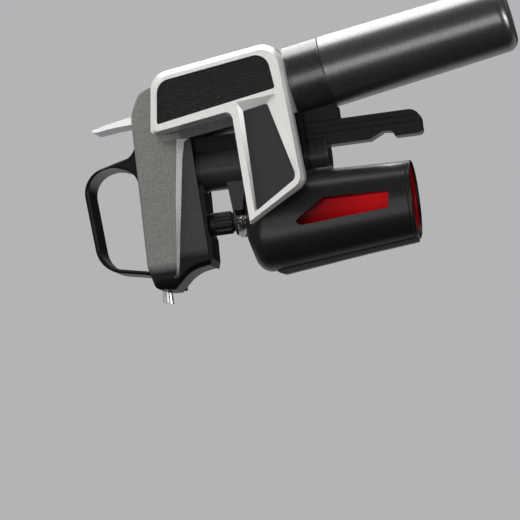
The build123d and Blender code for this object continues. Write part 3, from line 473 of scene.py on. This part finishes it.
# %% [markdown]
# ### Pads and panels
# The pads are soft black rubber, and the side panels are smooth charcoal plates, left bare. Both are dull and
# near in tone. The panel's finer grain and a little more grey are enough to tell plate from rubber.

# %% Pads and panels
pad = speckled("pad_charcoal", (0.008, 0.008, 0.008), (0.014, 0.014, 0.014), size_mm=1.0, roughness=0.50,
               specular=0.35, bump=0.1)
panel = speckled("panel_charcoal", (0.022, 0.022, 0.023), (0.029, 0.029, 0.030), size_mm=0.3, roughness=0.46,
                 specular=0.30)
paint(pad, "grip_pad_left", "grip_pad_right")
paint(panel, "side_panel_left", "side_panel_right")
print("pads and panels")

# %% [markdown]
# ### Metals
# The cup and its collar are anodised gunmetal with a grain that sparkles: its bump is strong, so that each
# spot mirrors another bit of the studio. The spout, the needle and the capsule are bright steel. They have a
# share of white paint for the reason the silver has. The springs and pins are duller and wholly metal, and
# the regulator and the valve inside are brass.

# %% Metals
gunmetal = speckled("gunmetal", (0.19, 0.19, 0.19), (0.33, 0.33, 0.325), size_mm=0.32, roughness=0.31,
                    metallic=0.92, bump=0.16)
collar_metal = speckled("gunmetal_collar", (0.12, 0.12, 0.12), (0.22, 0.22, 0.215), size_mm=0.32,
                        roughness=0.31, metallic=0.92, bump=0.16)
stainless = speckled("stainless", (0.88, 0.88, 0.87), (0.95, 0.95, 0.94), size_mm=0.5, roughness=0.20,
                     metallic=0.7, bump=0.0)
steel = speckled("spring_steel", (0.46, 0.46, 0.47), (0.54, 0.54, 0.55), size_mm=0.4, roughness=0.28,
                 metallic=1.0)
brass = speckled("brass", (0.66, 0.48, 0.22), (0.74, 0.55, 0.28), size_mm=0.6, roughness=0.28, metallic=1.0)
paint(gunmetal, "capsule_cup")
paint(collar_metal, "cup_collar")
paint(stainless, "spout_tube", "needle_tube", "gas_capsule")
paint(steel, "jaw_hinge_pin", "jaw_spring", "piercing_pin", "regulator_spring", "trigger_pin", "trigger_spring",
      "valve_spring", "frame_screw_upper_left", "frame_screw_upper_right", "frame_screw_lower_left",
      "frame_screw_lower_right")
paint(brass, "regulator_body", "regulator_cap", "regulator_piston", "valve_body", "push_pin")
print("metals on the cup, the spout and what is inside")

# %% [markdown]
# ### Clear ring
# The ring round the needle's guide is clear plastic. It could be faked with a see-through shader, but real
# transmission bends the light at its edges, and they are what shows that the ring is there.

# %% Clear ring
clear, tree, shader = new_finish("clear_ring", roughness=0.06)
shader.inputs["Transmission Weight"].default_value = 1.0
shader.inputs["IOR"].default_value = 1.49
shader.inputs["Base Color"].default_value = (0.93, 0.94, 0.95, 1)
paint(clear, "guide_ring")
print("clear ring")

# %% [markdown]
# ## Weave of the pads
# Each pad is covered with a weave of low diamonds, in staggered rows along its long edges. A bump in the
# material would do from the front, but not at the pad's edge, and the exported mesh would be plain. So one
# diamond is modelled, as a four-sided cone, and repeated.
# First come the pad's measures. Its corners are X and height in millimetres, and the heights are counted
# from a level `LIFT` above the frame's origin.

# %% Measures of the pads
LIFT = 60.0
PAD_FACE = 25.2             # distance of the pads' faces from the middle
PAD_CORNERS = ((58.8, 28.2), (65.0, -18.3), (49.7, -20.4), (41.2, 30.2))
PAD_MARGIN = 0.75           # smooth border round the weave
PAD_ROUNDING = 5.4          # where the bevel of the two outer corners starts, from each corner
FIELD_MIDDLE = (53.7, 5.0)
DIAMOND_PITCH = (1.5, 3.2)  # across and along the pad
DIAMOND_COUNT = (17, 19)
DIAMOND_FILL = 0.47         # half a diamond's width as a share of the pitch
DIAMOND_HEIGHT = 0.30
DIAMOND_SINK = 0.02         # how deep the diamonds' bases stand in the pad
upper, lower = PAD_CORNERS[:2]
PAD_TURN = math.atan2(lower[0] - upper[0], upper[1] - lower[1])
print("the pads lean by", round(math.degrees(PAD_TURN), 1), "degrees")

# %% [markdown]
# The field of diamonds is a plain rectangle, larger than the pad. A prism of the pad's outline, drawn a
# margin further in, cuts it to shape. The prism starts as a plane whose corners are moved to the outline.
# Bevel rounds two of them and Solidify makes it thick enough to hold the diamonds.


# %% Outline of the weave
def apply_modifiers(piece):
    """Apply every modifier of one object."""
    bpy.ops.object.select_all(action="DESELECT")
    piece.select_set(True)
    bpy.context.view_layer.objects.active = piece
    for modifier in list(piece.modifiers):
        bpy.ops.object.modifier_apply(modifier=modifier.name)


def inset_corners(corners, margin):
    """Corners of a convex outline moved inwards by a margin."""
    middle = sum((Vector(corner) for corner in corners), Vector((0, 0))) / len(corners)
    moved = []
    for index, corner in enumerate(corners):
        before, here, after = [Vector(corners[(index + shift) % len(corners)]) for shift in (-1, 0, 1)]
        first, second = (here - before).normalized(), (after - here).normalized()
        sides = [Vector((edge.y, -edge.x)) for edge in (first, second)]
        sides = [side if side.dot(middle - here) > 0 else -side for side in sides]
        bisector = (sides[0] + sides[1]).normalized()
        moved.append(here + bisector * margin / bisector.dot(sides[0]))
    return moved


def trim_prism(side):
    """Prism of the pad's outline with its two outer corners rounded."""
    thickness = 2.0
    sink = 0.5
    order_round_edge = (0, 1, 3, 2)
    corners = inset_corners(PAD_CORNERS, PAD_MARGIN)
    bpy.ops.mesh.primitive_plane_add(size=1)
    prism = bpy.context.object
    for vertex, index in zip(prism.data.vertices, order_round_edge):
        x, z = corners[index]
        vertex.co = (x * MM, side * (PAD_FACE - sink) * MM, (z + LIFT) * MM)
    outer = prism.vertex_groups.new(name="outer_corners")
    outer.add([0, 1], 1.0, "REPLACE")
    bevel = prism.modifiers.new("corners", "BEVEL")
    bevel.affect = "VERTICES"
    bevel.width = PAD_ROUNDING * MM
    bevel.segments = 10
    bevel.limit_method = "VGROUP"
    bevel.vertex_group = outer.name
    thick = prism.modifiers.new("thick", "SOLIDIFY")
    thick.thickness = thickness * MM
    thick.offset = 0
    apply_modifiers(prism)
    return prism


# %% [markdown]
# One Array puts a second diamond halfway to the next row, which makes the rows staggered. Two more repeat
# that pair across and along the pad. Placing hundreds of cones by hand would give the same field, but here
# the pitch is two numbers. The prism then trims the field with a Boolean, and the piece rides on the head.


# %% Weave of the pads
def diamond_field(name):
    """Rectangle of staggered diamonds, flat on the XY plane, with its middle at the origin."""
    across, along = DIAMOND_PITCH
    rows, columns = DIAMOND_COUNT
    bpy.ops.mesh.primitive_cone_add(vertices=4, radius1=1.0, depth=1.0)
    field = bpy.context.object
    field.name = name
    size = (DIAMOND_FILL * across * MM, DIAMOND_FILL * along * MM, DIAMOND_HEIGHT * MM)
    field.data.transform(Matrix.Diagonal((*size, 1)))
    for count, offset in ((2, (across / 2, along / 2, 0)), (rows, (across, 0, 0)), (columns, (0, along, 0))):
        array = field.modifiers.new("array", "ARRAY")
        array.count = count
        array.use_relative_offset = False
        array.use_constant_offset = True
        array.constant_offset_displace = [value * MM for value in offset]
    apply_modifiers(field)
    field.data.transform(Matrix.Translation((-rows * across * MM / 2, -columns * along * MM / 2, 0)))
    return field


def weave(name, side):
    """Field of diamonds on one pad."""
    field = diamond_field(name)
    facing = Matrix(((1, 0, 0), (0, 0, side), (0, 1, 0))).to_4x4()
    x, z = FIELD_MIDDLE
    surface = PAD_FACE + DIAMOND_HEIGHT / 2 - DIAMOND_SINK
    middle = Vector((x * MM, side * surface * MM, (z + LIFT) * MM))
    place = Matrix.Translation(middle) @ Matrix.Rotation(-PAD_TURN, 4, "Y") @ facing
    field.data.transform(place)
    if place.determinant() < 0:
        field.data.flip_normals()
    prism = trim_prism(side)
    trim = field.modifiers.new("trim", "BOOLEAN")
    trim.operation = "INTERSECT"
    trim.solver = "EXACT"
    trim.object = prism
    apply_modifiers(field)
    bpy.data.objects.remove(prism)
    field.data.materials.clear()
    field.data.materials.append(pad_weave)
    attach(field, "head")
    return field


pad_weave = speckled("pad_weave", (0.012, 0.012, 0.012), (0.020, 0.020, 0.020), size_mm=1.0, roughness=0.46,
                     specular=0.38, bump=0.0)
for name, side in (("pad_weave_left", 1), ("pad_weave_right", -1)):
    print(name, "triangles:", sum(len(face.vertices) - 2 for face in weave(name, side).data.polygons))
